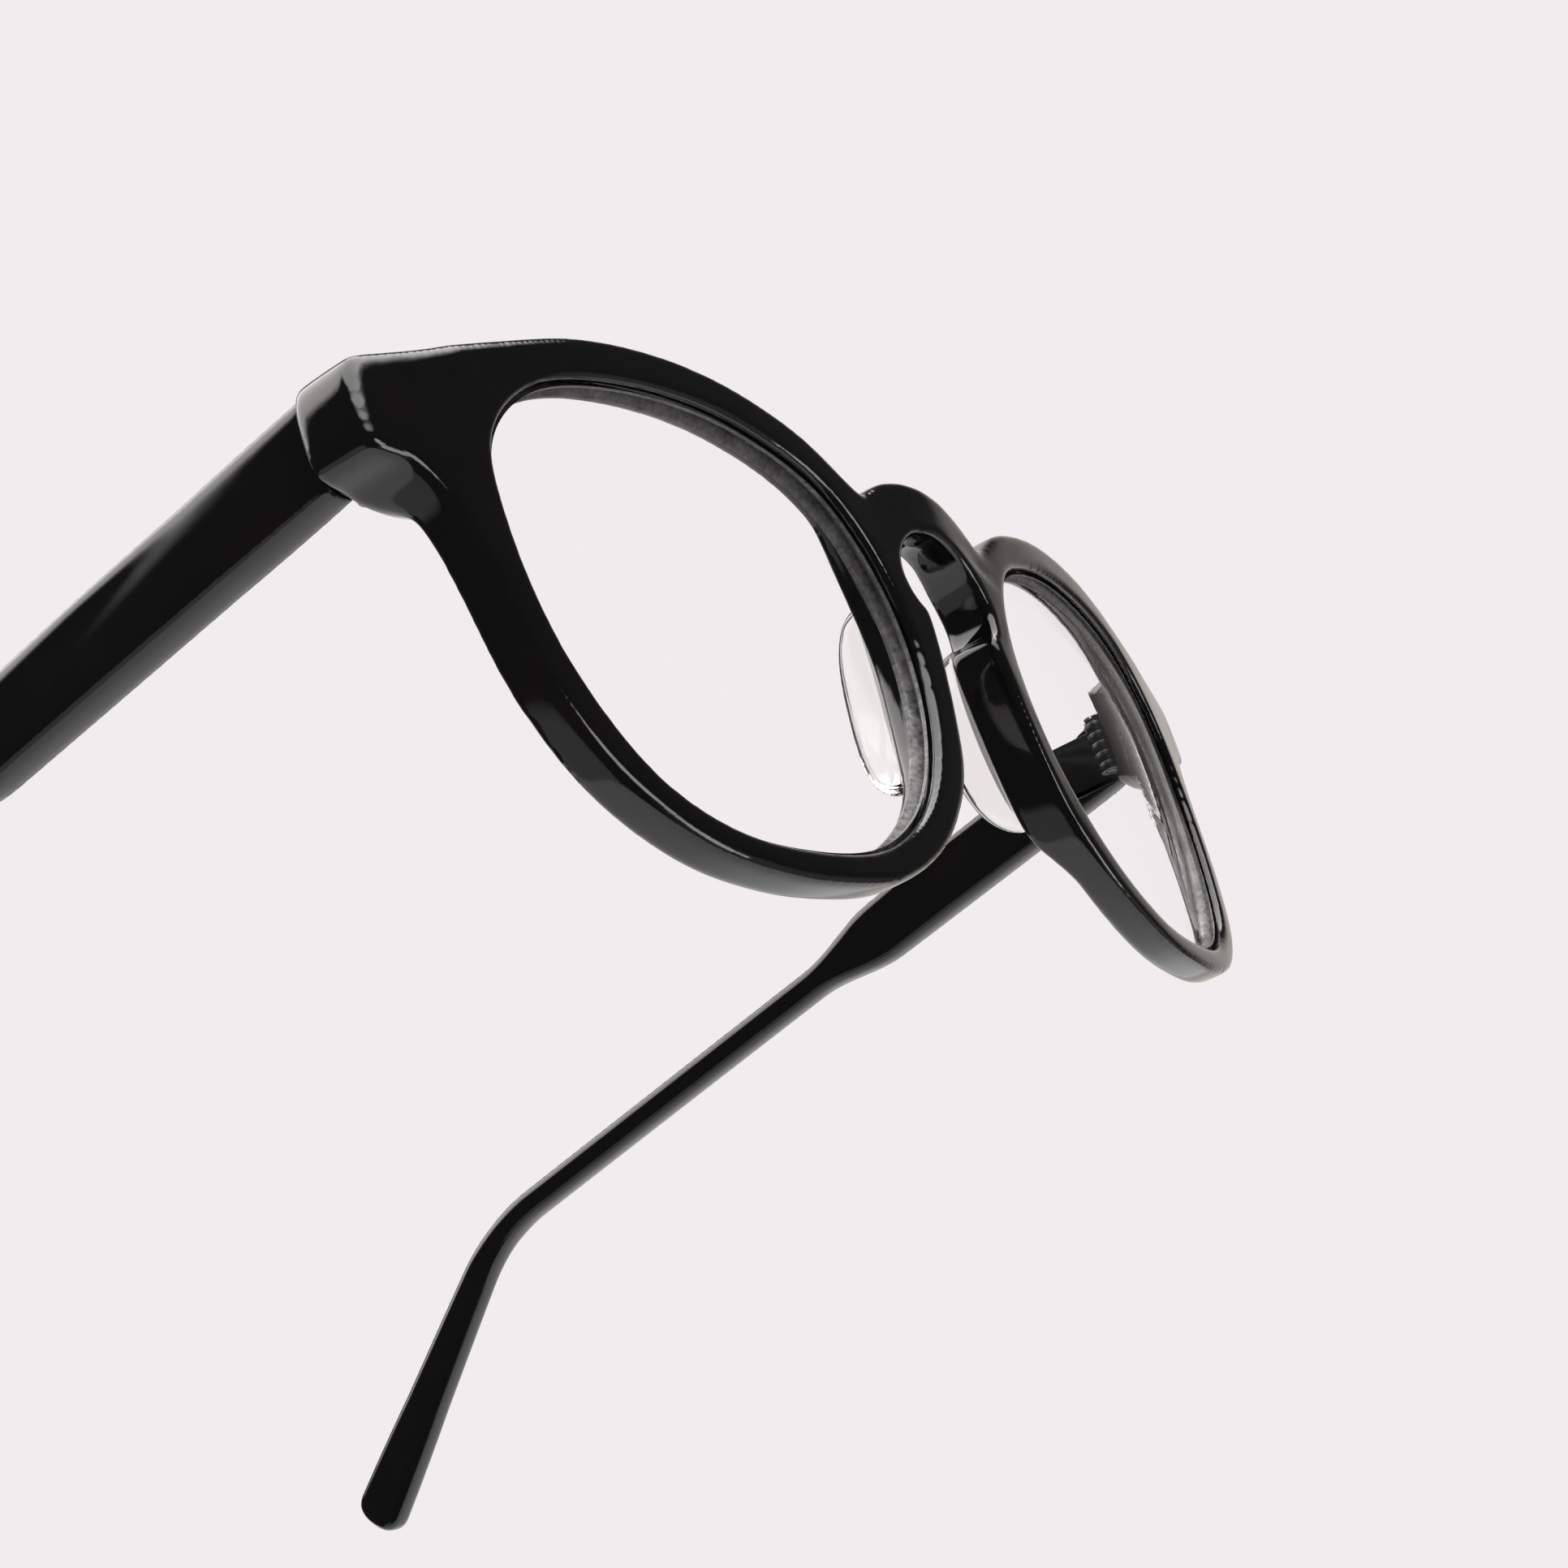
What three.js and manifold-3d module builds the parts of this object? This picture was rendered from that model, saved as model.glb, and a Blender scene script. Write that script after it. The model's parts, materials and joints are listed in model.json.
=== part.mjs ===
// Reading glasses: a black acetate front with two panto lens openings and a keyhole bridge,
// clear nose pads bonded behind it, and two temples on five-barrel hinges.
// Millimetres. While it is modelled the bridge faces -Y, the temples run back along +Y, Z is up
// and Z = 0 is the middle height of the lenses. At the end the whole pair is tipped until it
// stands on its rim bottoms and temple tips, with the origin under the middle of its box.
import * as THREE from 'three';
import { mergeVertices } from 'three/addons/utils/BufferGeometryUtils.js';
import Module from 'manifold-3d';

const wasm = await Module();
wasm.setup();

// Lens openings
const LENS_WIDTH = 47.1;
const LENS_HEIGHT = 37.6;
const BRIDGE_GAP = 21.4;
const OPENING_SHARES = [
  [0.985, 0.2], [0.945, 0.56], [0.71, 0.84], [0.25, 0.985], [-0.34, 0.97], [-0.79, 0.76], [-1.0, 0.3],
  [-0.97, -0.22], [-0.74, -0.66], [-0.37, -0.93], [0.08, -0.99], [0.44, -0.925], [0.7, -0.735],
  [0.91, -0.315],
];

// Front
const FACE_RADIUS = 311;
const RIM_DEPTH = 4.0;
const RIM_TOP = 3.5;
const RIM_BOTTOM = 2.5;
const RIM_NASAL = 4.2;
const RIM_TEMPORAL = 3.5;
const EDGE_ROUND = 0.5;
const BACK_FALL = 0.6;
const BROW_ALONG_SHARES = [0.345, 0.31, 0.27, 0.23, 0.19];
const RIM_ALONG_SHARES = [0.97, 0.92, 0.87, 0.82, 0.77, 0.72, 0.67, 0.62, 0.58, 0.54];
const OUTLINE_SAMPLES = 1400;
const FACET_SPACING = 3;
const LONGEST_FACET = 9;
const SHORTEST_FACET = 1.1;
const REFINE_ROUNDS = 5;
const CURVE_DEVIATION = 0.035;
const BEND_DEVIATION = 0.21;

// Fuller back of the rims beside the nose, under the pads
const BUILD_DEPTH = 0.9;
const BUILD_SIDE = 10;
const BUILD_TOP = 12;
const BUILD_BOTTOM = -11;
const BUILD_FADE = 5;

// Bridge and keyhole
const BRIDGE_TOP = 19;
const VALLEY_SIDE = 10.8;
const VALLEY_TOP = 16.0;
const BRIDGE_FORWARD = 0.7;
const CROWN_SHARES = [[0, 1], [0.3, 0.94], [0.59, 0.7], [0.81, 0.33], [0.97, 0.03]];
const KEYHOLE_HALF_WIDTH = 7.8;
const KEYHOLE_TOP = 14.4;
const KEYHOLE_NECK = 6.1;
const KEYHOLE_SHARES = [
  [0.79, 0], [0.89, 0.08], [0.97, 0.21], [1.0, 0.37], [0.95, 0.54],
  [0.81, 0.71], [0.62, 0.85], [0.37, 0.95], [0, 1],
];

// End pieces
const END_REACH = 10.4;
const END_TOP = 15;
const END_BOTTOM = 7.4;
const END_BACK = 12.6;
const END_CORNER = 1.3;
const END_WALL = 2.8;
const END_RAMP = 2.9;
const END_UNDERCUT = 3;
const BROW_SHARES = [[0.2, 0.12], [0.5, 0.44], [0.8, 0.78]];
const SHOULDER_SHARES = [[0.3, 0.04], [0.55, 0.2], [0.74, 0.42], [0.89, 0.71]];

// Lenses, seated by their bevel in a groove round each opening
const LENS_SET = 0.9;
const LENS_EDGE = 2.1;
const LENS_CENTRE = 2.2;
const LENS_BULGE = 1.6;
const LENS_BEVEL = 0.6;
const BEVEL_HALF_WIDTH = 0.7;
const LENS_FACETS = 60;
const LENS_BOWL_SHARES = [0, 0.35, 0.7];

// Nose pads
const PAD_LENGTH = 16;
const PAD_WIDTH = 3.4;
const PAD_RISE = 3.7;
const PAD_ALONG_SHARE = 0.494;
const PAD_DOME_SHARES = [[1, 0], [0.98, 0.24], [0.87, 0.53], [0.68, 0.79], [0.39, 0.95], [0, 1]];
const PAD_FACETS = 28;

// Temples
const TEMPLE_THICKNESS = 3.5;
const TEMPLE_INSET = 5.5;
const TEMPLE_SPLAY = 0.0393;
const TEMPLE_PITCH = THREE.MathUtils.degToRad(11.4);
const TEMPLE_MIDDLE = 11.5;
const WIDE_HEIGHT = 7.4;
const WIDE_TAPER = 0.4;
const WIDE_LENGTH = 34;
const WIDE_STATION_SHARES = [0.35, 0.7];
const STEP_LENGTH = 11;
const STEP_STATIONS = 8;
const SLIM_HEIGHT = 3.3;
const SLIM_STATION_SHARES = [0.33, 0.66];
const STRAIGHT_LENGTH = 91.5;
const BEND_RADIUS = 24;
const BEND_ANGLE = THREE.MathUtils.degToRad(31.2);
const BEND_STATIONS = 5;
const TIP_LENGTH = 33.2;
const TIP_HEIGHT = 6.4;
const TIP_CORNER = 2;
const TIP_CORNER_TURNS = [90, 45, 0];
const TEMPLE_ROUND = 0.9;

// Hinges
const KNUCKLES = 5;
const KNUCKLE_RADIUS = 1.3;
const KNUCKLE_GAP = 0.2;
const HINGE_HEIGHT = 5.6;
const SCREW_RADIUS = 0.65;
const SCREW_PLAY = 0.09;
const SCREW_HEAD_RADIUS = 1.1;
const SCREW_HEAD_HEIGHT = 0.6;
const SCREW_SLOT = 0.3;
const LEAF_THICKNESS = 1.9;
const LEAF_LENGTH = 8;
const LEAF_SETBACK = 0.45;
const ANCHOR_LENGTH = 3.2;
const ARM_THICKNESS = 0.9;
const HINGE_FACETS = 20;

// Core wires
const WIRE_RADIUS = 0.6;
const WIRE_SET_IN = 0.6;
const WIRE_TIP_MARGIN = 5;
const WIRE_CURVE_POINTS = 24;
const WIRE_STEPS = 22;
const WIRE_QUARTER_FACETS = 4;

// Clearances and working values
const SEAT_GAP = 0.3;
const OVERRUN = 2;
const MERGE_DISTANCE = 0.00001;
const SLIVER = 0.004;
const TILT_ROUNDS = 40;

const wearerRight = -1;
const wearerLeft = 1;
const lensOutside = BRIDGE_GAP / 2 + LENS_WIDTH;
const frontHalfWidth = lensOutside + END_REACH;
const endInside = lensOutside + END_WALL;
const jointPlane = END_BACK + SEAT_GAP / 2;

const acetate = new THREE.MeshStandardMaterial({ color: 0x0b0b0c, roughness: 0.12, metalness: 0 });
const clearResin = new THREE.MeshStandardMaterial({
  color: 0xf4f7f7, roughness: 0.03, metalness: 0, transparent: true, opacity: 0.15,
});
const crystalAcetate = new THREE.MeshStandardMaterial({
  color: 0xf6efec, roughness: 0.08, metalness: 0, transparent: true, opacity: 0.5,
});
const hingeSteel = new THREE.MeshStandardMaterial({ color: 0xb9bcc0, roughness: 0.3, metalness: 1 });
const wireSteel = new THREE.MeshStandardMaterial({ color: 0x9fa2a6, roughness: 0.35, metalness: 1 });

// Solids and booleans

function welded(geometry) {
  const bare = geometry.clone();
  bare.deleteAttribute('normal');
  bare.deleteAttribute('uv');
  return mergeVertices(bare, MERGE_DISTANCE);
}

function toSolid(geometry) {
  const closed = welded(geometry);
  return new wasm.Manifold(new wasm.Mesh({
    numProp: 3,
    vertProperties: new Float32Array(closed.attributes.position.array),
    triVerts: new Uint32Array(closed.index.array),
  }));
}

function fromSolid(solid) {
  const mesh = solid.getMesh();
  const geometry = new THREE.BufferGeometry();
  geometry.setAttribute('position', new THREE.BufferAttribute(mesh.vertProperties, 3));
  geometry.setIndex(new THREE.BufferAttribute(mesh.triVerts, 1));
  return geometry;
}

function signedVolume(geometry) {
  const corner = [new THREE.Vector3(), new THREE.Vector3(), new THREE.Vector3()];
  const position = geometry.attributes.position;
  let volume = 0;
  for (let i = 0; i < geometry.index.count; i += 3) {
    corner.forEach((point, j) => point.fromBufferAttribute(position, geometry.index.getX(i + j)));
    volume += corner[0].dot(corner[1].clone().cross(corner[2])) / 6;
  }
  return volume;
}

// Moves every vertex by a function of its place and turns the faces outwards.
function reshape(geometry, place) {
  const shaped = welded(geometry);
  const position = shaped.attributes.position;
  for (let i = 0; i < position.count; i++) {
    const point = place(new THREE.Vector3().fromBufferAttribute(position, i));
    position.setXYZ(i, point.x, point.y, point.z);
  }
  if (signedVolume(shaped) < 0) {
    const index = shaped.index;
    for (let i = 0; i < index.count; i += 3) {
      const second = index.getX(i + 1);
      index.setX(i + 1, index.getX(i + 2));
      index.setX(i + 2, second);
    }
  }
  return shaped;
}

// Halves each edge that is too long, or whose middle would stray from the placed surface,
// together with the triangles on both sides of it, a few times over.
function refine(geometry, place) {
  const points = [];
  const position = geometry.attributes.position;
  for (let i = 0; i < position.count; i++) {
    points.push(new THREE.Vector3().fromBufferAttribute(position, i));
  }
  let triangles = [];
  for (let i = 0; i < geometry.index.count; i += 3) {
    triangles.push([0, 1, 2].map((j) => geometry.index.getX(i + j)));
  }
  const judged = new Map();
  const keyOf = (a, b) => `${Math.min(a, b)} ${Math.max(a, b)}`;
  const isLong = (a, b) => {
    const key = keyOf(a, b);
    if (!judged.has(key)) {
      const length = points[a].distanceTo(points[b]);
      const middle = place(points[a].clone().lerp(points[b], 0.5));
      const chordMiddle = place(points[a].clone()).lerp(place(points[b].clone()), 0.5);
      const strays = length > 2 * SHORTEST_FACET && middle.distanceTo(chordMiddle) > BEND_DEVIATION;
      judged.set(key, strays || length > LONGEST_FACET);
    }
    return judged.get(key);
  };
  for (let round = 0; round < REFINE_ROUNDS; round++) {
    const halves = new Map();
    const halve = (a, b) => {
      const key = keyOf(a, b);
      if (!halves.has(key)) {
        halves.set(key, points.length);
        points.push(points[a].clone().lerp(points[b], 0.5));
      }
      return halves.get(key);
    };
    const finer = [];
    for (const [a, b, c] of triangles) {
      const turns = [[a, b, c], [b, c, a], [c, a, b]];
      const long = turns.filter(([from, to]) => isLong(from, to));
      if (long.length === 0) {
        finer.push([a, b, c]);
      } else if (long.length === 1) {
        const [from, to, tip] = long[0];
        const middle = halve(from, to);
        finer.push([from, middle, tip], [middle, to, tip]);
      } else if (long.length === 2) {
        const [from, to, tip] = turns.find(([start, end]) => !isLong(start, end));
        const right = halve(to, tip);
        const left = halve(tip, from);
        finer.push([from, to, right], [from, right, left], [left, right, tip]);
      } else {
        const [ab, bc, ca] = turns.map(([start, end]) => halve(start, end));
        finer.push([a, ab, ca], [ab, b, bc], [ca, bc, c], [ab, bc, ca]);
      }
    }
    triangles = finer;
  }
  const refined = new THREE.BufferGeometry().setFromPoints(points);
  refined.setIndex(triangles.flat());
  return refined;
}

function subtractAll(geometry, cutters) {
  const cut = cutters.reduce((solid, cutter) => solid.subtract(toSolid(cutter)), toSolid(geometry));
  return fromSolid(cut.simplify(SLIVER));
}

function addAll(geometries) {
  const [first, ...others] = geometries;
  return fromSolid(others.reduce((solid, other) => solid.add(toSolid(other)), toSolid(first)));
}

function boxBetween(low, high) {
  const size = new THREE.Vector3().subVectors(high, low);
  const middle = new THREE.Vector3().addVectors(low, high).multiplyScalar(0.5);
  return new THREE.BoxGeometry(size.x, size.y, size.z).translate(middle.x, middle.y, middle.z);
}

function uprightCylinder(radius, low, high, at) {
  const height = high - low;
  return new THREE.CylinderGeometry(radius, radius, height, HINGE_FACETS)
    .rotateX(Math.PI / 2)
    .translate(at.x, at.y, low + height / 2);
}

function ease(from, to, value) {
  const share = THREE.MathUtils.clamp((value - from) / (to - from), 0, 1);
  return share * share * (3 - 2 * share);
}

// Lens opening: a closed curve, starting at the temple side and running up over the top

const lensCentreX = (BRIDGE_GAP + LENS_WIDTH) / 2;

const openingCurve = new THREE.CatmullRomCurve3(
  OPENING_SHARES.map(([across, up]) => new THREE.Vector3(
    lensCentreX + across * LENS_WIDTH / 2, up * LENS_HEIGHT / 2, 0,
  )),
  true,
  'centripetal',
);

function rimWidthAt(normal) {
  const outward = Math.max(normal.x, 0) ** 2 * RIM_TEMPORAL + Math.max(-normal.x, 0) ** 2 * RIM_NASAL;
  const upward = Math.max(normal.y, 0) ** 2 * RIM_TOP + Math.max(-normal.y, 0) ** 2 * RIM_BOTTOM;
  return outward + upward;
}

function openingNormal(along) {
  const tangent = openingCurve.getTangentAt(THREE.MathUtils.euclideanModulo(along, 1));
  return new THREE.Vector2(tangent.y, -tangent.x);
}

function openingPoint(along, offset) {
  const point = openingCurve.getPointAt(THREE.MathUtils.euclideanModulo(along, 1));
  const normal = openingNormal(along);
  return new THREE.Vector2(point.x + normal.x * offset, point.y + normal.y * offset);
}

function rimPoint(along) {
  return openingPoint(along, rimWidthAt(openingNormal(along)));
}

// Front: half of its outline, from the top of the bridge out to the end piece and back to the keyhole

function cornerArc(centreX, centreZ, fromAngle, toAngle) {
  const points = [];
  for (const share of [0, 0.5, 1]) {
    const angle = THREE.MathUtils.lerp(fromAngle, toAngle, share);
    points.push(new THREE.Vector2(
      centreX + END_CORNER * Math.cos(angle), centreZ + END_CORNER * Math.sin(angle),
    ));
  }
  return points;
}

function between(start, end, shares) {
  return shares.map(([across, down]) => new THREE.Vector2(
    THREE.MathUtils.lerp(start.x, end.x, across), THREE.MathUtils.lerp(start.y, end.y, down),
  ));
}

function halfOutline() {
  const crown = CROWN_SHARES.map(([across, up]) => new THREE.Vector2(
    across * VALLEY_SIDE, THREE.MathUtils.lerp(VALLEY_TOP, BRIDGE_TOP, up),
  ));
  const brow = BROW_ALONG_SHARES.map(rimPoint);
  const topCorner = cornerArc(frontHalfWidth - END_CORNER, END_TOP - END_CORNER, Math.PI / 2, 0);
  const bottomCorner = cornerArc(frontHalfWidth - END_CORNER, END_BOTTOM + END_CORNER, 0, -Math.PI / 2);
  const rim = RIM_ALONG_SHARES.map(rimPoint);
  const keyhole = KEYHOLE_SHARES.map(([across, up]) => new THREE.Vector2(
    across * KEYHOLE_HALF_WIDTH, THREE.MathUtils.lerp(KEYHOLE_NECK, KEYHOLE_TOP, up),
  ));
  return [
    ...crown,
    ...brow,
    ...between(brow.at(-1), topCorner[0], BROW_SHARES),
    ...topCorner,
    ...bottomCorner,
    ...between(bottomCorner.at(-1), rim[0], SHOULDER_SHARES),
    ...rim,
    ...keyhole,
  ];
}

// Keeps the points of a finely sampled curve that its bends need.
function thinOut(points) {
  const kept = [points[0]];
  let last = 0;
  for (let i = 2; i < points.length; i++) {
    const chord = new THREE.Line3(
      new THREE.Vector3(points[last].x, points[last].y, 0), new THREE.Vector3(points[i].x, points[i].y, 0),
    );
    let deviation = 0;
    for (let j = last + 1; j < i; j++) {
      const inner = new THREE.Vector3(points[j].x, points[j].y, 0);
      const nearest = chord.closestPointToPoint(inner, true, new THREE.Vector3());
      deviation = Math.max(deviation, nearest.distanceTo(inner));
    }
    if (deviation > CURVE_DEVIATION || chord.distance() > FACET_SPACING) {
      kept.push(points[i - 1]);
      last = i - 1;
    }
  }
  kept.push(points.at(-1));
  return kept;
}

function frontOutline() {
  const fine = new THREE.CatmullRomCurve3(
    halfOutline().map((point) => new THREE.Vector3(point.x, point.y, 0)), false, 'centripetal',
  ).getPoints(OUTLINE_SAMPLES);
  const half = thinOut(fine.map((point) => new THREE.Vector2(point.x, point.y)));
  const mirrored = half.slice(1, -1).reverse().map((point) => new THREE.Vector2(-point.x, point.y));
  return [...half, ...mirrored];
}

// How far the face lies back from the middle of an even bow: the bridge stands a little forward.
function faceAt(x) {
  return x * x / (2 * FACE_RADIUS) - BRIDGE_FORWARD * ease(VALLEY_SIDE, 0, Math.abs(x));
}

const openingRing = [];
for (let i = 0; i < LENS_FACETS; i++) {
  openingRing.push(openingPoint(i / LENS_FACETS, 0));
}

function openingDistance(x, z) {
  const spot = new THREE.Vector3(x, z, 0);
  const nearest = new THREE.Vector3();
  const gaps = openingRing.map((from, i) => {
    const to = openingRing[(i + 1) % LENS_FACETS];
    const edge = new THREE.Line3(new THREE.Vector3(from.x, from.y, 0), new THREE.Vector3(to.x, to.y, 0));
    return edge.closestPointToPoint(spot, true, nearest).distanceTo(spot);
  });
  return Math.min(...gaps);
}

// Depth of the front behind its face: the back of each rim falls away from the lens, is fuller
// beside the nose and runs up to the flat joint face at the end pieces.
function depthAt(x, z) {
  const side = Math.abs(x);
  const reach = openingDistance(side, z);
  const fallShare = Math.min(reach / RIM_BOTTOM, 1) * ease(BUILD_SIDE, BUILD_SIDE + BUILD_FADE, side);
  const buildShare = ease(BUILD_SIDE + BUILD_FADE, BUILD_SIDE, side)
    * ease(BUILD_TOP + BUILD_FADE, BUILD_TOP, z)
    * ease(BUILD_BOTTOM - BUILD_FADE, BUILD_BOTTOM, z);
  const endShare = ease(endInside - END_RAMP, endInside, side)
    * ease(END_BOTTOM - END_UNDERCUT, END_BOTTOM, z);
  const rimDepth = RIM_DEPTH + BUILD_DEPTH * buildShare - BACK_FALL * fallShare;
  return THREE.MathUtils.lerp(rimDepth, END_BACK - faceAt(x), endShare);
}

function roundedSlab(shape, depth, round) {
  return new THREE.ExtrudeGeometry(shape, {
    depth: depth - 2 * round,
    steps: 1,
    bevelEnabled: true,
    bevelThickness: round,
    bevelSize: round,
    bevelOffset: -round,
    bevelSegments: 2,
  }).translate(0, 0, round);
}

// The front before it is bent: x across, y up and z forward from its back face.
function flatFront() {
  const shape = new THREE.Shape(frontOutline().reverse());
  for (const side of [wearerRight, wearerLeft]) {
    shape.holes.push(new THREE.Path(openingRing.map((point) => new THREE.Vector2(side * point.x, point.y))));
  }
  return welded(roundedSlab(shape, RIM_DEPTH, EDGE_ROUND));
}

// Stands the slab up, bows it and gives it its depth.
function bend(point) {
  const wallFront = RIM_DEPTH - EDGE_ROUND;
  const share = THREE.MathUtils.clamp((wallFront - point.z) / (wallFront - EDGE_ROUND), 0, 1);
  const extra = depthAt(point.x, point.y) - RIM_DEPTH;
  return new THREE.Vector3(
    point.x, faceAt(point.x) + RIM_DEPTH - point.z + extra * share, point.y,
  );
}

function lensRing(profile, side) {
  const radius = LENS_WIDTH / 2;
  const points = profile.map(([offset, depth]) => new THREE.Vector2(radius + offset, depth));
  const lathe = new THREE.LatheGeometry(points, LENS_FACETS);
  return reshape(lathe, (point) => {
    const along = Math.atan2(point.z, point.x) / (2 * Math.PI);
    const reach = Math.hypot(point.x, point.z);
    const share = Math.min(reach / radius, 1);
    const rim = openingPoint(along, Math.max(reach - radius, 0));
    const x = THREE.MathUtils.lerp(lensCentreX, rim.x, share);
    const z = rim.y * share;
    const bulge = LENS_BULGE * (1 - share * share);
    return new THREE.Vector3(side * x, faceAt(x) + LENS_SET + point.y - bulge, z);
  });
}

const bevelSlope = BEVEL_HALF_WIDTH / (LENS_BEVEL + SEAT_GAP);
const grooveApex = LENS_BEVEL + SEAT_GAP / Math.sin(Math.atan(bevelSlope));

function lensGroove(side) {
  const mouth = (grooveApex + EDGE_ROUND) * bevelSlope;
  const middle = LENS_EDGE / 2;
  return lensRing([
    [-EDGE_ROUND, middle - mouth],
    [grooveApex, middle],
    [-EDGE_ROUND, middle + mouth],
    [-EDGE_ROUND, middle - mouth],
  ], side);
}

function lens(side) {
  const radius = LENS_WIDTH / 2;
  const middle = LENS_EDGE / 2;
  const swell = (LENS_CENTRE - LENS_EDGE) / 2;
  const front = LENS_BOWL_SHARES.map((share) => [radius * share - radius, -swell * (1 - share * share)]);
  const back = front.map(([offset, depth]) => [offset, LENS_EDGE - depth]);
  return lensRing([
    ...front,
    [-SEAT_GAP, 0],
    [-SEAT_GAP, middle - BEVEL_HALF_WIDTH],
    [LENS_BEVEL, middle],
    [-SEAT_GAP, middle + BEVEL_HALF_WIDTH],
    [-SEAT_GAP, LENS_EDGE],
    ...back.reverse(),
  ], side);
}

// Hinge, worked out on the wearer's left and mirrored for the right

const innerFace = frontHalfWidth - TEMPLE_INSET;
const hingeAxis = new THREE.Vector2(innerFace - KNUCKLE_RADIUS - SEAT_GAP, jointPlane);
const hingeMiddle = (END_TOP + END_BOTTOM) / 2;
const hingeLow = hingeMiddle - HINGE_HEIGHT / 2;
const hingeHigh = hingeMiddle + HINGE_HEIGHT / 2;
const knucklePitch = (HINGE_HEIGHT + KNUCKLE_GAP) / KNUCKLES;

// One leaf: its knuckles, an arm from each to the block, and the block let into the acetate.
// towards is -1 for the leaf in the end piece and +1 for the leaf in the temple.
function hingeLeaf(towards, blockLength) {
  const nearSide = jointPlane + towards * LEAF_SETBACK;
  const blockEnd = nearSide + towards * blockLength;
  const armEnd = nearSide + towards * ARM_THICKNESS;
  const block = boxBetween(
    new THREE.Vector3(innerFace, Math.min(nearSide, blockEnd), hingeLow),
    new THREE.Vector3(innerFace + LEAF_THICKNESS, Math.max(nearSide, blockEnd), hingeHigh),
  );
  const first = towards < 0 ? 0 : 1;
  const pieces = [block];
  for (let knuckle = first; knuckle < KNUCKLES; knuckle += 2) {
    const low = hingeLow + knuckle * knucklePitch;
    const high = low + knucklePitch - KNUCKLE_GAP;
    pieces.push(uprightCylinder(KNUCKLE_RADIUS, low, high, hingeAxis));
    pieces.push(boxBetween(
      new THREE.Vector3(hingeAxis.x, Math.min(nearSide, armEnd), low),
      new THREE.Vector3(innerFace + LEAF_THICKNESS / 2, Math.max(nearSide, armEnd), high),
    ));
  }
  const bore = uprightCylinder(
    SCREW_RADIUS + SCREW_PLAY, hingeLow - OVERRUN, hingeHigh + OVERRUN, hingeAxis,
  );
  return subtractAll(addAll(pieces), [bore]);
}

function hingeScrew() {
  const shaft = uprightCylinder(SCREW_RADIUS, hingeLow, hingeHigh + SCREW_HEAD_HEIGHT, hingeAxis);
  const seat = hingeHigh + SCREW_PLAY;
  const head = uprightCylinder(SCREW_HEAD_RADIUS, seat, seat + SCREW_HEAD_HEIGHT, hingeAxis);
  const slot = boxBetween(
    new THREE.Vector3(hingeAxis.x - OVERRUN, hingeAxis.y - SCREW_SLOT / 2, seat + SCREW_HEAD_HEIGHT / 2),
    new THREE.Vector3(hingeAxis.x + OVERRUN, hingeAxis.y + SCREW_SLOT / 2, seat + OVERRUN),
  );
  return subtractAll(addAll([shaft, head]), [slot]);
}

// The notch for the knuckles, open at the top for the screw, a slot for the arms
// and the pocket for one leaf's block.
function hingePockets(towards, blockLength) {
  const low = hingeLow - SEAT_GAP;
  const high = hingeHigh + SEAT_GAP;
  const notch = uprightCylinder(KNUCKLE_RADIUS + SEAT_GAP, low, END_TOP + 2 * OVERRUN, hingeAxis);
  const blockEnd = jointPlane + towards * (LEAF_SETBACK + blockLength + SEAT_GAP);
  const armEnd = jointPlane + towards * (LEAF_SETBACK + ARM_THICKNESS + SEAT_GAP);
  const slot = boxBetween(
    new THREE.Vector3(hingeAxis.x, Math.min(jointPlane, armEnd), low),
    new THREE.Vector3(innerFace, Math.max(jointPlane, armEnd), high),
  );
  const pocket = boxBetween(
    new THREE.Vector3(innerFace - SEAT_GAP, Math.min(jointPlane, blockEnd), low),
    new THREE.Vector3(innerFace + LEAF_THICKNESS + SEAT_GAP, Math.max(jointPlane, blockEnd), high),
  );
  return [notch, slot, pocket];
}

function mirror(geometry, side) {
  return reshape(geometry, (point) => new THREE.Vector3(side * point.x, point.y, point.z));
}

function frontFrame() {
  const bent = reshape(refine(flatFront(), bend), bend);
  const cutters = [];
  for (const side of [wearerRight, wearerLeft]) {
    cutters.push(lensGroove(side));
    cutters.push(...hingePockets(-1, ANCHOR_LENGTH).map((pocket) => mirror(pocket, side)));
  }
  return subtractAll(bent, cutters);
}

// Nose pad: a dome drawn out along the nasal rim, with its flat base on the back of the front

function nosePad(side) {
  const profile = [[0, 0], ...PAD_DOME_SHARES].map(([reach, rise]) => new THREE.Vector2(reach, rise));
  const dome = new THREE.LatheGeometry(profile, PAD_FACETS);
  const rimLength = openingCurve.getLength();
  return reshape(dome, (point) => {
    const along = PAD_ALONG_SHARE + point.x * PAD_LENGTH / 2 / rimLength;
    const offset = RIM_NASAL / 2 + point.z * PAD_WIDTH / 2;
    const spot = openingPoint(along, offset);
    const back = faceAt(spot.x) + depthAt(spot.x, spot.y) + SEAT_GAP;
    return new THREE.Vector3(side * spot.x, back + point.y * PAD_RISE, spot.y);
  });
}

// Temple: a centre line with a height that steps down behind the wide part and swells at the tip

const bendLength = BEND_RADIUS * BEND_ANGLE;
const templeLength = STRAIGHT_LENGTH + bendLength + TIP_LENGTH;

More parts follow.
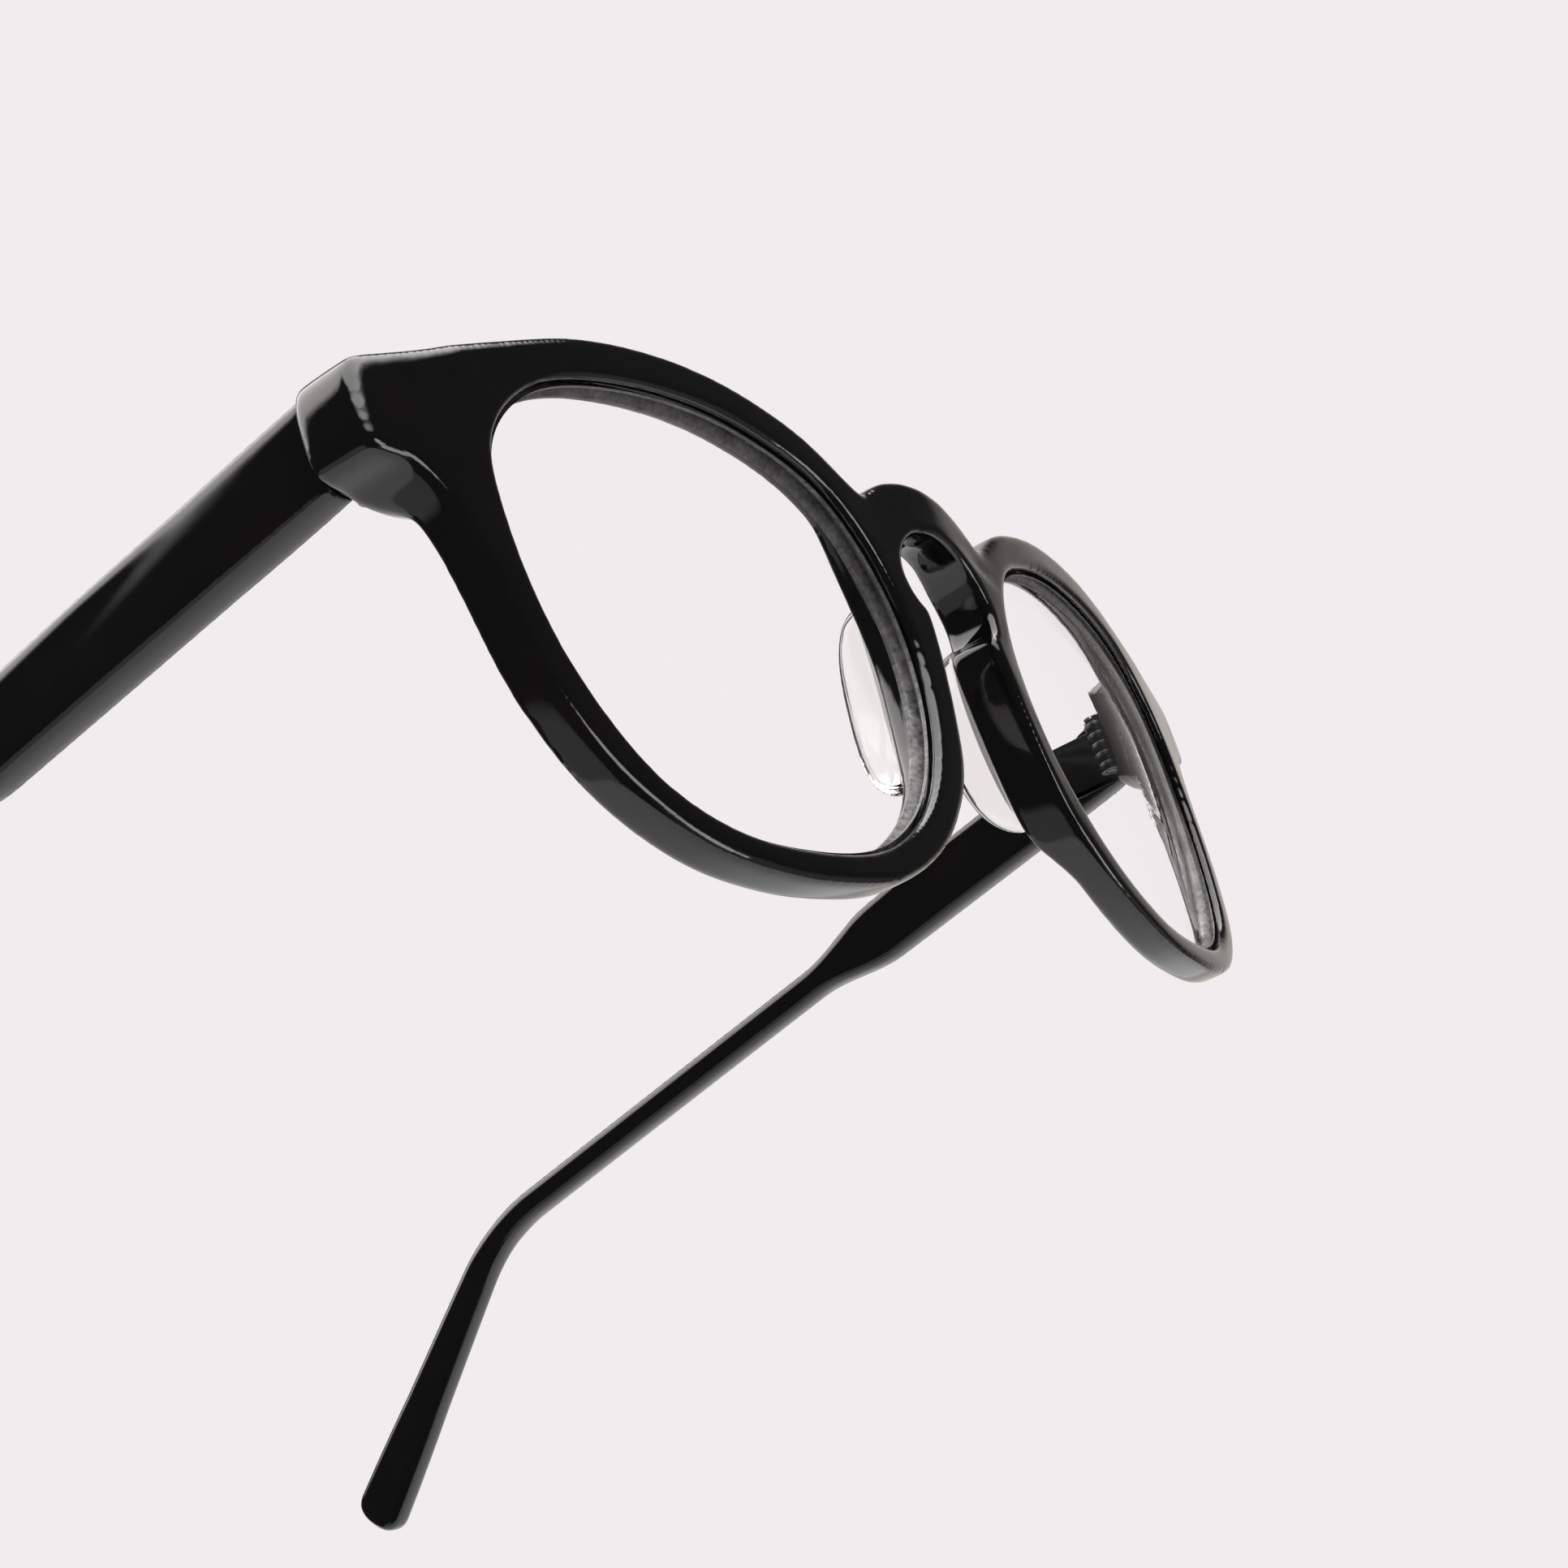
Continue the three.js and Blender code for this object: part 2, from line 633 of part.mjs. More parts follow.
function centreLine(along) {
  const straight = Math.min(along, STRAIGHT_LENGTH);
  const turned = THREE.MathUtils.clamp((along - STRAIGHT_LENGTH) / BEND_RADIUS, 0, BEND_ANGLE);
  const beyond = Math.max(along - STRAIGHT_LENGTH - bendLength, 0);
  const angle = TEMPLE_PITCH + turned;
  const point = new THREE.Vector2(jointPlane, TEMPLE_MIDDLE);
  point.x += straight * Math.cos(TEMPLE_PITCH) + beyond * Math.cos(angle);
  point.y -= straight * Math.sin(TEMPLE_PITCH) + beyond * Math.sin(angle);
  point.x += BEND_RADIUS * (Math.sin(angle) - Math.sin(TEMPLE_PITCH));
  point.y += BEND_RADIUS * (Math.cos(angle) - Math.cos(TEMPLE_PITCH));
  return { point, angle };
}

function templeHeight(along) {
  const wide = WIDE_HEIGHT - WIDE_TAPER * along / WIDE_LENGTH;
  const slim = THREE.MathUtils.lerp(wide, SLIM_HEIGHT, ease(WIDE_LENGTH, WIDE_LENGTH + STEP_LENGTH, along));
  const tipStart = STRAIGHT_LENGTH + bendLength / 2;
  const tipShare = THREE.MathUtils.clamp((along - tipStart) / (templeLength - tipStart), 0, 1);
  return Math.min(slim, WIDE_HEIGHT) + (TIP_HEIGHT - SLIM_HEIGHT) * tipShare;
}

function templeEdge(along, up) {
  const { point, angle } = centreLine(along);
  const reach = up * templeHeight(along) / 2;
  return new THREE.Vector2(point.x + reach * Math.sin(angle), point.y + reach * Math.cos(angle));
}

function templeOutline() {
  const stepEnd = WIDE_LENGTH + STEP_LENGTH;
  const stations = [-OVERRUN, ...WIDE_STATION_SHARES.map((share) => share * WIDE_LENGTH)];
  for (let i = 0; i <= STEP_STATIONS; i++) {
    stations.push(WIDE_LENGTH + STEP_LENGTH * i / STEP_STATIONS);
  }
  stations.push(...SLIM_STATION_SHARES.map((share) => THREE.MathUtils.lerp(stepEnd, STRAIGHT_LENGTH, share)));
  for (let i = 0; i <= BEND_STATIONS; i++) {
    stations.push(STRAIGHT_LENGTH + bendLength * i / BEND_STATIONS);
  }
  stations.push(templeLength - TIP_LENGTH / 2);
  const top = stations.map((along) => templeEdge(along, 1));
  const bottom = stations.map((along) => templeEdge(along, -1)).reverse();
  return [...top, ...tipCorner(1), ...tipCorner(-1).reverse(), ...bottom];
}

// Rounded upper or lower corner of the tip, from the long edge to the end.
function tipCorner(up) {
  const { point, angle } = centreLine(templeLength - TIP_CORNER);
  const ahead = new THREE.Vector2(Math.cos(angle), -Math.sin(angle));
  const across = new THREE.Vector2(Math.sin(angle), Math.cos(angle)).multiplyScalar(up);
  const rise = templeHeight(templeLength) / 2 - TIP_CORNER;
  return TIP_CORNER_TURNS.map((turn) => {
    const radians = THREE.MathUtils.degToRad(turn);
    return point.clone()
      .addScaledVector(ahead, TIP_CORNER * Math.cos(radians))
      .addScaledVector(across, rise + TIP_CORNER * Math.sin(radians));
  });
}

function splayed(point) {
  const out = innerFace + point.x + TEMPLE_SPLAY * (point.y - jointPlane);
  return new THREE.Vector3(out, point.y, point.z);
}

function wirePath(from, to) {
  const points = [];
  for (let i = 0; i <= WIRE_CURVE_POINTS; i++) {
    const { point } = centreLine(THREE.MathUtils.lerp(from, to, i / WIRE_CURVE_POINTS));
    points.push(splayed(new THREE.Vector3(TEMPLE_THICKNESS / 2, point.x, point.y)));
  }
  return new THREE.CatmullRomCurve3(points, false, 'centripetal');
}

function tube(path, radius) {
  const section = new THREE.Shape();
  section.absarc(0, 0, radius, 0, 2 * Math.PI);
  return new THREE.ExtrudeGeometry(section, {
    steps: WIRE_STEPS, bevelEnabled: false, extrudePath: path, curveSegments: WIRE_QUARTER_FACETS,
  });
}

const wireStart = LEAF_SETBACK + LEAF_LENGTH + WIRE_SET_IN;
const wireEnd = templeLength - WIRE_TIP_MARGIN;

function coreWire() {
  return welded(tube(wirePath(wireStart, wireEnd), WIRE_RADIUS));
}

function temple() {
  const slab = roundedSlab(new THREE.Shape(templeOutline()), TEMPLE_THICKNESS, TEMPLE_ROUND);
  const bar = reshape(slab, (point) => splayed(new THREE.Vector3(point.z, point.x, point.y)));
  const mitre = boxBetween(
    new THREE.Vector3(innerFace - OVERRUN, jointPlane - 3 * OVERRUN, END_BOTTOM - 2 * OVERRUN),
    new THREE.Vector3(frontHalfWidth + OVERRUN, jointPlane + SEAT_GAP / 2, END_TOP + 2 * OVERRUN),
  );
  const bore = tube(wirePath(wireStart - OVERRUN, wireEnd + OVERRUN), WIRE_RADIUS + SEAT_GAP);
  return subtractAll(bar, [mitre, ...hingePockets(1, LEAF_LENGTH), bore]);
}

// Assembly

const glasses = new THREE.Group();

function add(name, geometry, material) {
  const mesh = new THREE.Mesh(geometry, material.clone());
  mesh.name = name;
  glasses.add(mesh);
}

add('front_frame', frontFrame(), acetate);
for (const [name, side] of [['right', wearerRight], ['left', wearerLeft]]) {
  add(`${name}_lens`, lens(side), clearResin);
  add(`${name}_nose_pad`, nosePad(side), crystalAcetate);
  add(`${name}_front_hinge_leaf`, mirror(hingeLeaf(-1, ANCHOR_LENGTH), side), hingeSteel);
  add(`${name}_temple_hinge_leaf`, mirror(hingeLeaf(1, LEAF_LENGTH), side), hingeSteel);
  add(`${name}_hinge_screw`, mirror(hingeScrew(), side), hingeSteel);
  add(`${name}_temple`, mirror(temple(), side), acetate);
  add(`${name}_core_wire`, mirror(coreWire(), side), wireSteel);
}

// Standing pose: tip the pair until the temple tips are as low as the rim bottoms

function lowest(name, tilt) {
  const position = glasses.getObjectByName(name).geometry.attributes.position;
  let low = Infinity;
  for (let i = 0; i < position.count; i++) {
    low = Math.min(low, position.getZ(i) * Math.cos(tilt) + position.getY(i) * Math.sin(tilt));
  }
  return low;
}

let tiltLow = 0;
let tiltHigh = BEND_ANGLE;
for (let i = 0; i < TILT_ROUNDS; i++) {
  const tilt = (tiltLow + tiltHigh) / 2;
  if (lowest('left_temple', tilt) < lowest('front_frame', tilt)) {
    tiltLow = tilt;
  } else {
    tiltHigh = tilt;
  }
}
glasses.rotation.x = tiltLow;
glasses.updateMatrixWorld(true);
const standing = new THREE.Box3().setFromObject(glasses, true);
glasses.position.set(0, -(standing.min.y + standing.max.y) / 2, -standing.min.z);

const pair = new THREE.Group();
pair.add(glasses);

export default pair;
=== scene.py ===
import json
import math

import bpy
import numpy as np
from bpy.props import FloatProperty, FloatVectorProperty, IntProperty, PointerProperty
from mathutils import Matrix, Vector


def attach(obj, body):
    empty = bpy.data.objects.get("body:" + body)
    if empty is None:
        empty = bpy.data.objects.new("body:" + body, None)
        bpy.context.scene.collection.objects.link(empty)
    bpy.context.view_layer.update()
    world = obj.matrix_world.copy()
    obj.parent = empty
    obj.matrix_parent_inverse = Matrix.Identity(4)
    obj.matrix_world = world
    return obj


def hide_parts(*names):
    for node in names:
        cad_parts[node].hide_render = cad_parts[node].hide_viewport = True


bl_info = {
    "name": "Reading glasses",
    "version": (1, 0, 0),
    "blender": (4, 5, 0),
    "location": "3D View > Sidebar > Glasses",
    "description": "Dresses a pair of black acetate reading glasses in polished detail",
    "category": "Object",
}

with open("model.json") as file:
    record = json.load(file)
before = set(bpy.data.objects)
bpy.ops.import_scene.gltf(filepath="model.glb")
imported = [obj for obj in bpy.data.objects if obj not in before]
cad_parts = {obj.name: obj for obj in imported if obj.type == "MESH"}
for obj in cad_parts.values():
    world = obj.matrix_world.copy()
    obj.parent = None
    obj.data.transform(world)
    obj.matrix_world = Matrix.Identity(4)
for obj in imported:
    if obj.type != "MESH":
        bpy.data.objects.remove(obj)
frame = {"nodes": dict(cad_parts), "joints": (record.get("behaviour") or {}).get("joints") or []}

MM = 0.001
SIDES = ("right", "left")


# Sizes and colours

class AcetateProperties(bpy.types.PropertyGroup):
    grain: FloatProperty(
        name="Surface step", description="Spacing of the fine surface points",
        default=0.2 * MM, min=0.1 * MM, unit="LENGTH",
    )
    soften: IntProperty(
        name="Soften", description="Rounds of smoothing that soften the edges as a tumbler does",
        default=40, min=0,
    )
    triangles: IntProperty(
        name="Triangles", description="Most triangles in one piece of acetate", default=190000, min=1000,
    )
    cuts: IntProperty(
        name="Cuts", description="Parts that each side of a facet is split into", default=6, min=1,
    )
    bow: FloatProperty(
        name="Bow limit", description="Height of the bow at which an edge counts as a corner",
        default=0.3 * MM, min=0.01 * MM, unit="LENGTH",
    )
    end_start: FloatProperty(
        name="End start", description="Distance from the middle where the end pieces start",
        default=58 * MM, min=0, unit="LENGTH",
    )
    lean: FloatProperty(
        name="Lean", description="How far the top of an end piece's outer side leans inwards",
        default=1.9 * MM, min=0, unit="LENGTH",
    )
    lean_height: FloatProperty(
        name="Lean height", description="Height over which the outer side leans",
        default=5.5 * MM, min=0.1 * MM, unit="LENGTH",
    )
    colour: FloatVectorProperty(
        name="Black", description="Colour of the acetate", subtype="COLOR",
        default=(0.0044, 0.0043, 0.0043), min=0, max=1,
    )
    warm: FloatVectorProperty(
        name="Warm black", description="Colour where the acetate is a little worn or thin",
        subtype="COLOR", default=(0.0062, 0.0052, 0.0046), min=0, max=1,
    )
    gloss: FloatProperty(
        name="Roughness", description="Roughness of the polished acetate",
        default=0.05, min=0, max=1, subtype="FACTOR",
    )


class LensProperties(bpy.types.PropertyGroup):
    colour: FloatVectorProperty(
        name="Lens", description="Colour of the clear lens resin", subtype="COLOR",
        default=(0.995, 0.995, 0.995), min=0, max=1,
    )
    edge: FloatVectorProperty(
        name="Ground edge", description="Colour of the ground lens edge", subtype="COLOR",
        default=(0.42, 0.42, 0.41), min=0, max=1,
    )
    index: FloatProperty(
        name="Refractive index", description="Refractive index of the lens resin",
        default=1.02, min=1, max=2,
    )


class PadProperties(bpy.types.PropertyGroup):
    colour: FloatVectorProperty(
        name="Crystal", description="Colour of the clear nose pads", subtype="COLOR",
        default=(0.945, 0.93, 0.92), min=0, max=1,
    )
    # Painted shade: the share of the pad's colour kept where the pad is seen edge-on.
    outline: FloatProperty(
        name="Outline", description="Share of the colour left where the pad is seen edge-on",
        default=0.1, min=0, max=1, subtype="FACTOR",
    )
    index: FloatProperty(
        name="Refractive index", description="Refractive index of the clear acetate",
        default=1.26, min=1, max=2,
    )


class SteelProperties(bpy.types.PropertyGroup):
    colour: FloatVectorProperty(
        name="Steel", description="Colour of the hinge metal", subtype="COLOR",
        default=(0.05, 0.05, 0.052), min=0, max=1,
    )
    edge: FloatProperty(
        name="Edge round", description="Rounding of the edges of the hinge leaves and screws",
        default=0.08 * MM, min=0, unit="LENGTH",
    )


class StageProperties(bpy.types.PropertyGroup):
    backdrop: FloatVectorProperty(
        name="Backdrop", description="Colour of the floor and the backdrop", subtype="COLOR",
        default=(0.8796, 0.8388, 0.8550), min=0, max=1,
    )
    floor_size: FloatProperty(
        name="Floor size", description="Length of each side of the floor", default=12.0, unit="LENGTH",
    )
    ambient: FloatProperty(
        name="Ambient", description="Strength of the soft light from all round", default=0.7, min=0,
    )
    overhead: FloatProperty(
        name="Overhead lamp", description="Power of the overhead softbox in watts", default=1.6, min=0,
    )


# Modelling steps

# Points closer together than this become one.
MERGE_DISTANCE = 0.002 * MM

# Two facets that meet at more than their piece's angle meet at a corner. Others belong to one curve.
ACETATE_CORNER = math.radians(50)
LENS_CORNER = math.radians(30)
PAD_CORNER = math.radians(50)
STEEL_CORNER = math.radians(35)

# Edges that turn by more than these angles stay crisp when their piece is subdivided.
LENS_CREASE = math.radians(25)
PAD_CREASE = math.radians(60)

# The voxel grid is turned askew, so that no flat side lies along it and shows its steps.
GRID_TURN = Matrix.Rotation(math.radians(37), 4, Vector((1, 2, 3)))


def deselect_all():
    if bpy.context.object and bpy.context.object.mode != "OBJECT":
        bpy.ops.object.mode_set(mode="OBJECT")
    bpy.ops.object.select_all(action="DESELECT")


def make_active(piece):
    deselect_all()
    piece.select_set(True)
    bpy.context.view_layer.objects.active = piece


def merge_points(piece):
    make_active(piece)
    bpy.ops.object.mode_set(mode="EDIT")
    bpy.ops.mesh.select_all(action="SELECT")
    bpy.ops.mesh.remove_doubles(threshold=MERGE_DISTANCE)
    bpy.ops.object.mode_set(mode="OBJECT")


def copy_of(node, name):
    """A copy of a CAD node's mesh, merged into one skin, as a new piece."""
    piece = bpy.data.objects.new(name, frame["nodes"][node].data.copy())
    piece.data.name = name
    piece.data.materials.clear()
    bpy.context.scene.collection.objects.link(piece)
    merge_points(piece)
    return piece


def finish_with(piece, kind, **settings):
    """Adds one modifier, sets it and applies it."""
    make_active(piece)
    modifier = piece.modifiers.new(kind.title(), kind)
    for name, value in settings.items():
        setattr(modifier, name, value)
    bpy.ops.object.modifier_apply(modifier=modifier.name)


def shade_smooth(piece, corner):
    """Shades a piece smooth, but for its corners."""
    make_active(piece)
    bpy.ops.object.shade_smooth_by_angle(angle=corner)


def squares_from_triangles(piece):
    """Joins the CAD solid's triangles in pairs, because squares subdivide more evenly."""
    make_active(piece)
    bpy.ops.object.mode_set(mode="EDIT")
    bpy.ops.mesh.select_all(action="SELECT")
    bpy.ops.mesh.tris_convert_to_quads(
        face_threshold=math.radians(40), shape_threshold=math.radians(60),
    )
    bpy.ops.object.mode_set(mode="OBJECT")


def crease_sharp_edges(piece, angle):
    """Creases the edges that turn by more than the angle, so that they stay crisp when subdivided."""
    make_active(piece)
    bpy.ops.object.mode_set(mode="EDIT")
    bpy.ops.mesh.select_mode(type="EDGE")
    bpy.ops.mesh.select_all(action="DESELECT")
    bpy.ops.mesh.edges_select_sharp(sharpness=angle)
    bpy.ops.transform.edge_crease(value=1)
    bpy.ops.mesh.select_mode(type="VERT")
    bpy.ops.object.mode_set(mode="OBJECT")


def subdivide(piece, crease):
    """Rounds a faceted solid between its creases."""
    squares_from_triangles(piece)
    crease_sharp_edges(piece, crease)
    finish_with(piece, "SUBSURF", levels=2, render_levels=2)


def points_of(mesh):
    """The places of a mesh's points, one row each."""
    places = np.empty(3 * len(mesh.vertices))
    mesh.vertices.foreach_get("co", places)
    return places.reshape(-1, 3)


def bow_facets(piece, cuts, limit):
    """Splits each facet and bows it to the normals at its corners, so that curves lose their flats.

    A side that would bow much higher than the limit crosses a corner of the shape and stays straight.
    """
    shade_smooth(piece, ACETATE_CORNER)
    finish_with(piece, "WEIGHTED_NORMAL", mode="FACE_AREA_WITH_ANGLE", keep_sharp=True)
    mesh = piece.data
    normals = np.empty(3 * len(mesh.loops))
    mesh.corner_normals.foreach_get("vector", normals)
    normals = normals.reshape(-1, 3, 3)
    order = np.empty(len(mesh.loops), dtype=np.int64)
    mesh.loops.foreach_get("vertex_index", order)
    tips = points_of(mesh)[order].reshape(-1, 3, 3)

    # Each point of a split facet is a mean of the facet's three tips with these shares.
    steps = [(row, column) for row in range(cuts + 1) for column in range(cuts + 1 - row)]
    shares = np.array([(row, column, cuts - row - column) for row, column in steps]) / cuts
    bowed = np.einsum("gc,tcx->tgx", shares, tips)

    # Each side gets a lift that suits the normals at its ends. Its middle rises by a quarter of that.
    for start, end in ((0, 1), (1, 2), (2, 0)):
        side = tips[:, end] - tips[:, start]
        lift = np.zeros_like(side)
        for corner, sign in ((start, -1), (end, 1)):
            normal = normals[:, corner]
            lift += sign * normal * np.sum(side * normal, axis=1, keepdims=True) / 2
        height = np.linalg.norm(lift, axis=1, keepdims=True) / 4
        lift /= 1 + (height / limit) ** 4
        bowed += (shares[:, start] * shares[:, end])[None, :, None] * lift[:, None]

    number = {step: index for index, step in enumerate(steps)}
    pattern = []
    for row, column in steps:
        if row + column < cuts:
            pattern.append([number[row, column], number[row + 1, column], number[row, column + 1]])
        if row + column < cuts - 1:
            pattern.append([number[row + 1, column], number[row + 1, column + 1], number[row, column + 1]])
    first = len(steps) * np.arange(len(tips))
    facets = (first[:, None, None] + np.array(pattern)).reshape(-1, 3)
    fine = bpy.data.meshes.new(piece.name)
    fine.from_pydata(bowed.reshape(-1, 3), [], facets)
    piece.data = fine
    bpy.data.meshes.remove(mesh)
    merge_points(piece)


def polish(piece, sizes):
    """Gives a faceted acetate solid the soft skin of tumbled and buffed plastic."""
    bow_facets(piece, sizes.cuts, sizes.bow)
    piece.data.transform(GRID_TURN)
    finish_with(piece, "REMESH", mode="VOXEL", voxel_size=sizes.grain, use_smooth_shade=True)
    piece.data.transform(GRID_TURN.inverted())
    finish_with(piece, "SMOOTH", factor=0.5, iterations=sizes.soften)
    # The voxel skin is all squares, of two triangles each.
    triangles = 2 * len(piece.data.polygons)
    if triangles > sizes.triangles:
        finish_with(piece, "DECIMATE", ratio=sizes.triangles / triangles)


def seat(piece, node, body):
    """Puts a finished piece in its CAD node's place, on its body."""
    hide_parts(node)
    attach(piece, body)


# Materials

# Refractive index of black acetate.
ACETATE_INDEX = 1.49

# Depth of the bumps on polished acetate and on a ground lens edge.
BUMP_DEPTH = 0.05 * MM


def new_material(name):
    material = bpy.data.materials.get(name)
    if material is None:
        material = bpy.data.materials.new(name)
    material.use_nodes = True
    material.node_tree.nodes.clear()
    return material, material.node_tree


def add_node(tree, kind, place, **settings):
    node = tree.nodes.new(kind)
    node.location = place
    for name, value in settings.items():
        setattr(node, name, value)
    return node


def feed(node, *in_order, **named):
    """Fills a node's inputs in order or by name: an output is linked, another value is written in."""
    fed = list(zip(node.inputs, in_order))
    fed += [(node.inputs[name.replace("_", " ")], source) for name, source in named.items()]
    for socket, source in fed:
        if isinstance(source, bpy.types.NodeSocket):
            node.id_data.links.new(source, socket)
        else:
            socket.default_value = source


def opaque(colour):
    return (*colour, 1)


def darker(colour, share):
    return [share * value for value in colour]


def mix_colours(tree, place, factor, first, second):
    """Adds a mix of two colours and returns its output."""
    mix = add_node(tree, "ShaderNodeMix", place, data_type="RGBA")
    feed(mix, Factor=factor, A=opaque(first), B=opaque(second))
    return mix.outputs["Result"]


def add_bump(tree, place, height, strength, distance):
    """Adds a bump and returns its output of normals."""
    bump = add_node(tree, "ShaderNodeBump", place)
    feed(bump, Height=height, Strength=strength, Distance=distance)
    return bump.outputs["Normal"]


def add_surface(tree, **sources):
    """Adds the Principled shader, fed from these sources, and the output of a material."""
    shader = add_node(tree, "ShaderNodeBsdfPrincipled", (200, 0))
    feed(shader, **sources)
    finish = add_node(tree, "ShaderNodeOutputMaterial", (500, 0))
    feed(finish, Surface=shader.outputs["BSDF"])


def polish_marks():
    """Node group: slow waves and faint rubbing marks that hand polishing leaves on plastic."""
    tree = bpy.data.node_groups.get("polish marks")
    if tree:
        return tree
    tree = bpy.data.node_groups.new("polish marks", "ShaderNodeTree")
    socket = tree.interface.new_socket
    for name, start in (
        ("Waves per metre", 180.0), ("Marks per metre", 1400.0), ("Roughness", 0.07), ("Spread", 0.04),
    ):
        socket(name, in_out="INPUT", socket_type="NodeSocketFloat").default_value = start
    for name in ("Wear", "Roughness", "Height"):
        socket(name, in_out="OUTPUT", socket_type="NodeSocketFloat")
    start = add_node(tree, "NodeGroupInput", (-900, 0)).outputs
    place = add_node(tree, "ShaderNodeTexCoord", (-900, -300)).outputs["Object"]
    waves = add_node(tree, "ShaderNodeTexNoise", (-650, 200))
    feed(waves, Vector=place, Scale=start["Waves per metre"], Detail=2.0, Roughness=0.45)
    stretch = add_node(tree, "ShaderNodeMapping", (-650, -300))
    feed(stretch, Vector=place, Scale=(1.0, 0.2, 1.0), Rotation=(0.3, 0.2, 0.5))
    marks = add_node(tree, "ShaderNodeTexNoise", (-420, -200))
    feed(
        marks, Vector=stretch.outputs["Vector"], Scale=start["Marks per metre"], Detail=4.0, Roughness=0.6,
    )
    rough = add_node(tree, "ShaderNodeMath", (-180, 0), operation="MULTIPLY_ADD")
    feed(rough, marks.outputs["Fac"], start["Spread"], start["Roughness"])
    mark_height = 0.06
    height = add_node(tree, "ShaderNodeMath", (-180, -200), operation="MULTIPLY_ADD")
    feed(height, marks.outputs["Fac"], mark_height, waves.outputs["Fac"])
    finish = add_node(tree, "NodeGroupOutput", (60, 0))
    feed(
        finish, Wear=waves.outputs["Fac"], Roughness=rough.outputs["Value"],
        Height=height.outputs["Value"],
    )
    return tree


def add_marks(tree, **values):
    """Adds the polish marks with these values and returns their outputs."""
    marks = add_node(tree, "ShaderNodeGroup", (-500, 0), node_tree=polish_marks())
    feed(marks, **values)
    return marks.outputs


def black_acetate(sizes):
    """Polished black, a little warmer where the waves of the polish are high."""
    material, tree = new_material("black acetate")
    spread = 0.04
    marks = add_marks(tree, Roughness=sizes.gloss - spread / 2, Spread=spread)
    tone = add_node(tree, "ShaderNodeMapRange", (-300, 200))
    feed(tone, Value=marks["Wear"], From_Min=0.45, From_Max=0.75)
    add_surface(
        tree,
        Base_Color=mix_colours(tree, (-100, 200), tone.outputs["Result"], sizes.colour, sizes.warm),
        Roughness=marks["Roughness"],
        IOR=ACETATE_INDEX,
        Normal=add_bump(tree, (-100, -200), marks["Height"], strength=0.12, distance=BUMP_DEPTH),
    )
    return material


def crystal_acetate(sizes):
    """Clear, with painted shade that darkens it where it is seen edge-on, in place of the dark outline that
    a thick clear piece shows there.
    """
    material, tree = new_material("crystal acetate")
    marks = add_marks(tree, Roughness=0.0, Spread=0.05, Waves_per_metre=260.0)
    # Painted shade: the pad's colour is darkened as its surface turns edge-on to the view.
    rim = add_node(tree, "ShaderNodeLayerWeight", (-400, 300))
    feed(rim, Blend=0.5)
    tone = add_node(tree, "ShaderNodeMapRange", (-200, 300), interpolation_type="SMOOTHSTEP")
    feed(tone, Value=rim.outputs["Facing"], From_Min=0.3, From_Max=0.72)
    outline = darker(sizes.colour, sizes.outline)
    add_surface(
        tree,
        Base_Color=mix_colours(tree, (-50, 300), tone.outputs["Result"], sizes.colour, outline),
        Roughness=marks["Roughness"],
        IOR=sizes.index,
        Transmission_Weight=1.0,
        Normal=add_bump(tree, (-150, -200), marks["Height"], strength=0.15, distance=BUMP_DEPTH),
    )
    return material


def lens_resin(sizes):
    """Clear resin with the faintest of rubbing marks."""
    material, tree = new_material("lens resin")
    marks = add_marks(tree, Roughness=0.0, Spread=0.004, Marks_per_metre=700.0)
    add_surface(
        tree, Base_Color=opaque(sizes.colour), Roughness=marks["Roughness"], IOR=sizes.index,
        Transmission_Weight=1.0,
    )
    return material


def ground_edge(sizes):
    """The frosted edge of a lens, with the grinding wheel's marks across it, and painted shade that darkens
    it towards the brow.
    """
    material, tree = new_material("ground lens edge")
    place = add_node(tree, "ShaderNodeTexCoord", (-900, 0)).outputs["Object"]
    across = add_node(tree, "ShaderNodeMapping", (-700, 150))
    feed(across, Vector=place, Scale=(1.0, 0.12, 1.0))
    teeth = add_node(tree, "ShaderNodeTexNoise", (-500, 150))
    feed(teeth, Vector=across.outputs["Vector"], Scale=2400.0, Detail=2.0, Roughness=0.5)
    blotch = add_node(tree, "ShaderNodeTexNoise", (-500, -150))
    feed(blotch, Vector=place, Scale=420.0, Detail=4.0, Roughness=0.65)
    frost = add_node(tree, "ShaderNodeMath", (-300, 0), operation="MULTIPLY")
    feed(frost, teeth.outputs["Fac"], blotch.outputs["Fac"])
    tone = add_node(tree, "ShaderNodeMapRange", (-120, 150))
    feed(tone, Value=frost.outputs["Value"], From_Min=0.12, From_Max=0.42)
    # Painted shade: the frosted colour is painted darker towards the top of the lens, under the brow.
    height = add_node(tree, "ShaderNodeSeparateXYZ", (-500, 400))
    feed(height, Vector=place)
    full_shade_height, shade_end_height = 28 * MM, 14 * MM
    low = add_node(tree, "ShaderNodeMapRange", (-300, 400), interpolation_type="SMOOTHSTEP")
    feed(
        low, Value=height.outputs["Z"], From_Min=full_shade_height, From_Max=shade_end_height, To_Min=0.3,
        To_Max=1.0,
    )
    light = add_node(tree, "ShaderNodeMath", (-120, 300), operation="MULTIPLY")
    feed(light, tone.outputs["Result"], low.outputs["Result"])
    dark = darker(sizes.edge, 0.08)
    add_surface(
        tree,
        Base_Color=mix_colours(tree, (0, 150), light.outputs["Value"], dark, sizes.edge),
        Roughness=0.45,
        Normal=add_bump(tree, (0, -150), frost.outputs["Value"], strength=0.5, distance=BUMP_DEPTH),
    )
    return material


